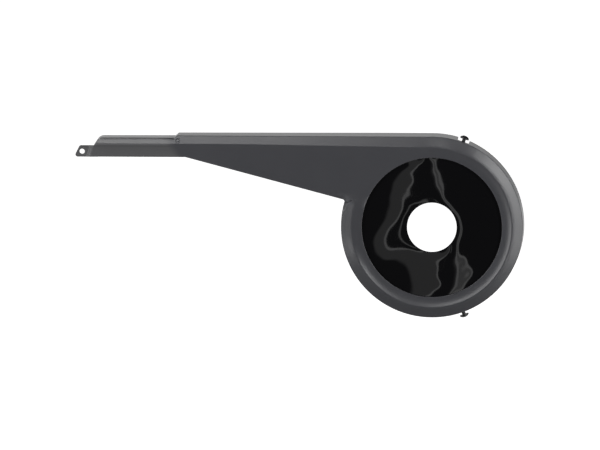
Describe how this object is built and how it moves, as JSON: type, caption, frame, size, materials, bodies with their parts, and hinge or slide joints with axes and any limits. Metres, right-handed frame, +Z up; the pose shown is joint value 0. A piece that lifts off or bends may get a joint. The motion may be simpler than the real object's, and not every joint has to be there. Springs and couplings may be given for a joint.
{
  "type": "bicycle chain guard",
  "caption": "Moulded bicycle chain guard: round bezel with a gloss cover disc round the crank, a tapering arm over the upper chain run and a rear fixing tab.",
  "frame": {"origin": "on the crank axis, at the outer face of the cover disc, in the middle of the crank hole", "axes": "+X forward along the bicycle, +Z up, +Y inboard towards the frame, so the outside of the guard faces -Y"},
  "size_m": [0.4928, 0.0338, 0.202],
  "materials": {
    "shell_plastic": "fine matte grain, dark grey",
    "disc_gloss": "gloss black sheet, slightly wavy",
    "black_screw": "black-finished steel",
    "zinc_nut": "plain zinc-plated steel"
  },
  "bodies": {
    "root": {"guard_shell": "shell_plastic", "cover_disc": "disc_gloss", "rim_screws": "black_screw", "rim_nuts": "zinc_nut"}
  },
  "joints": []
}
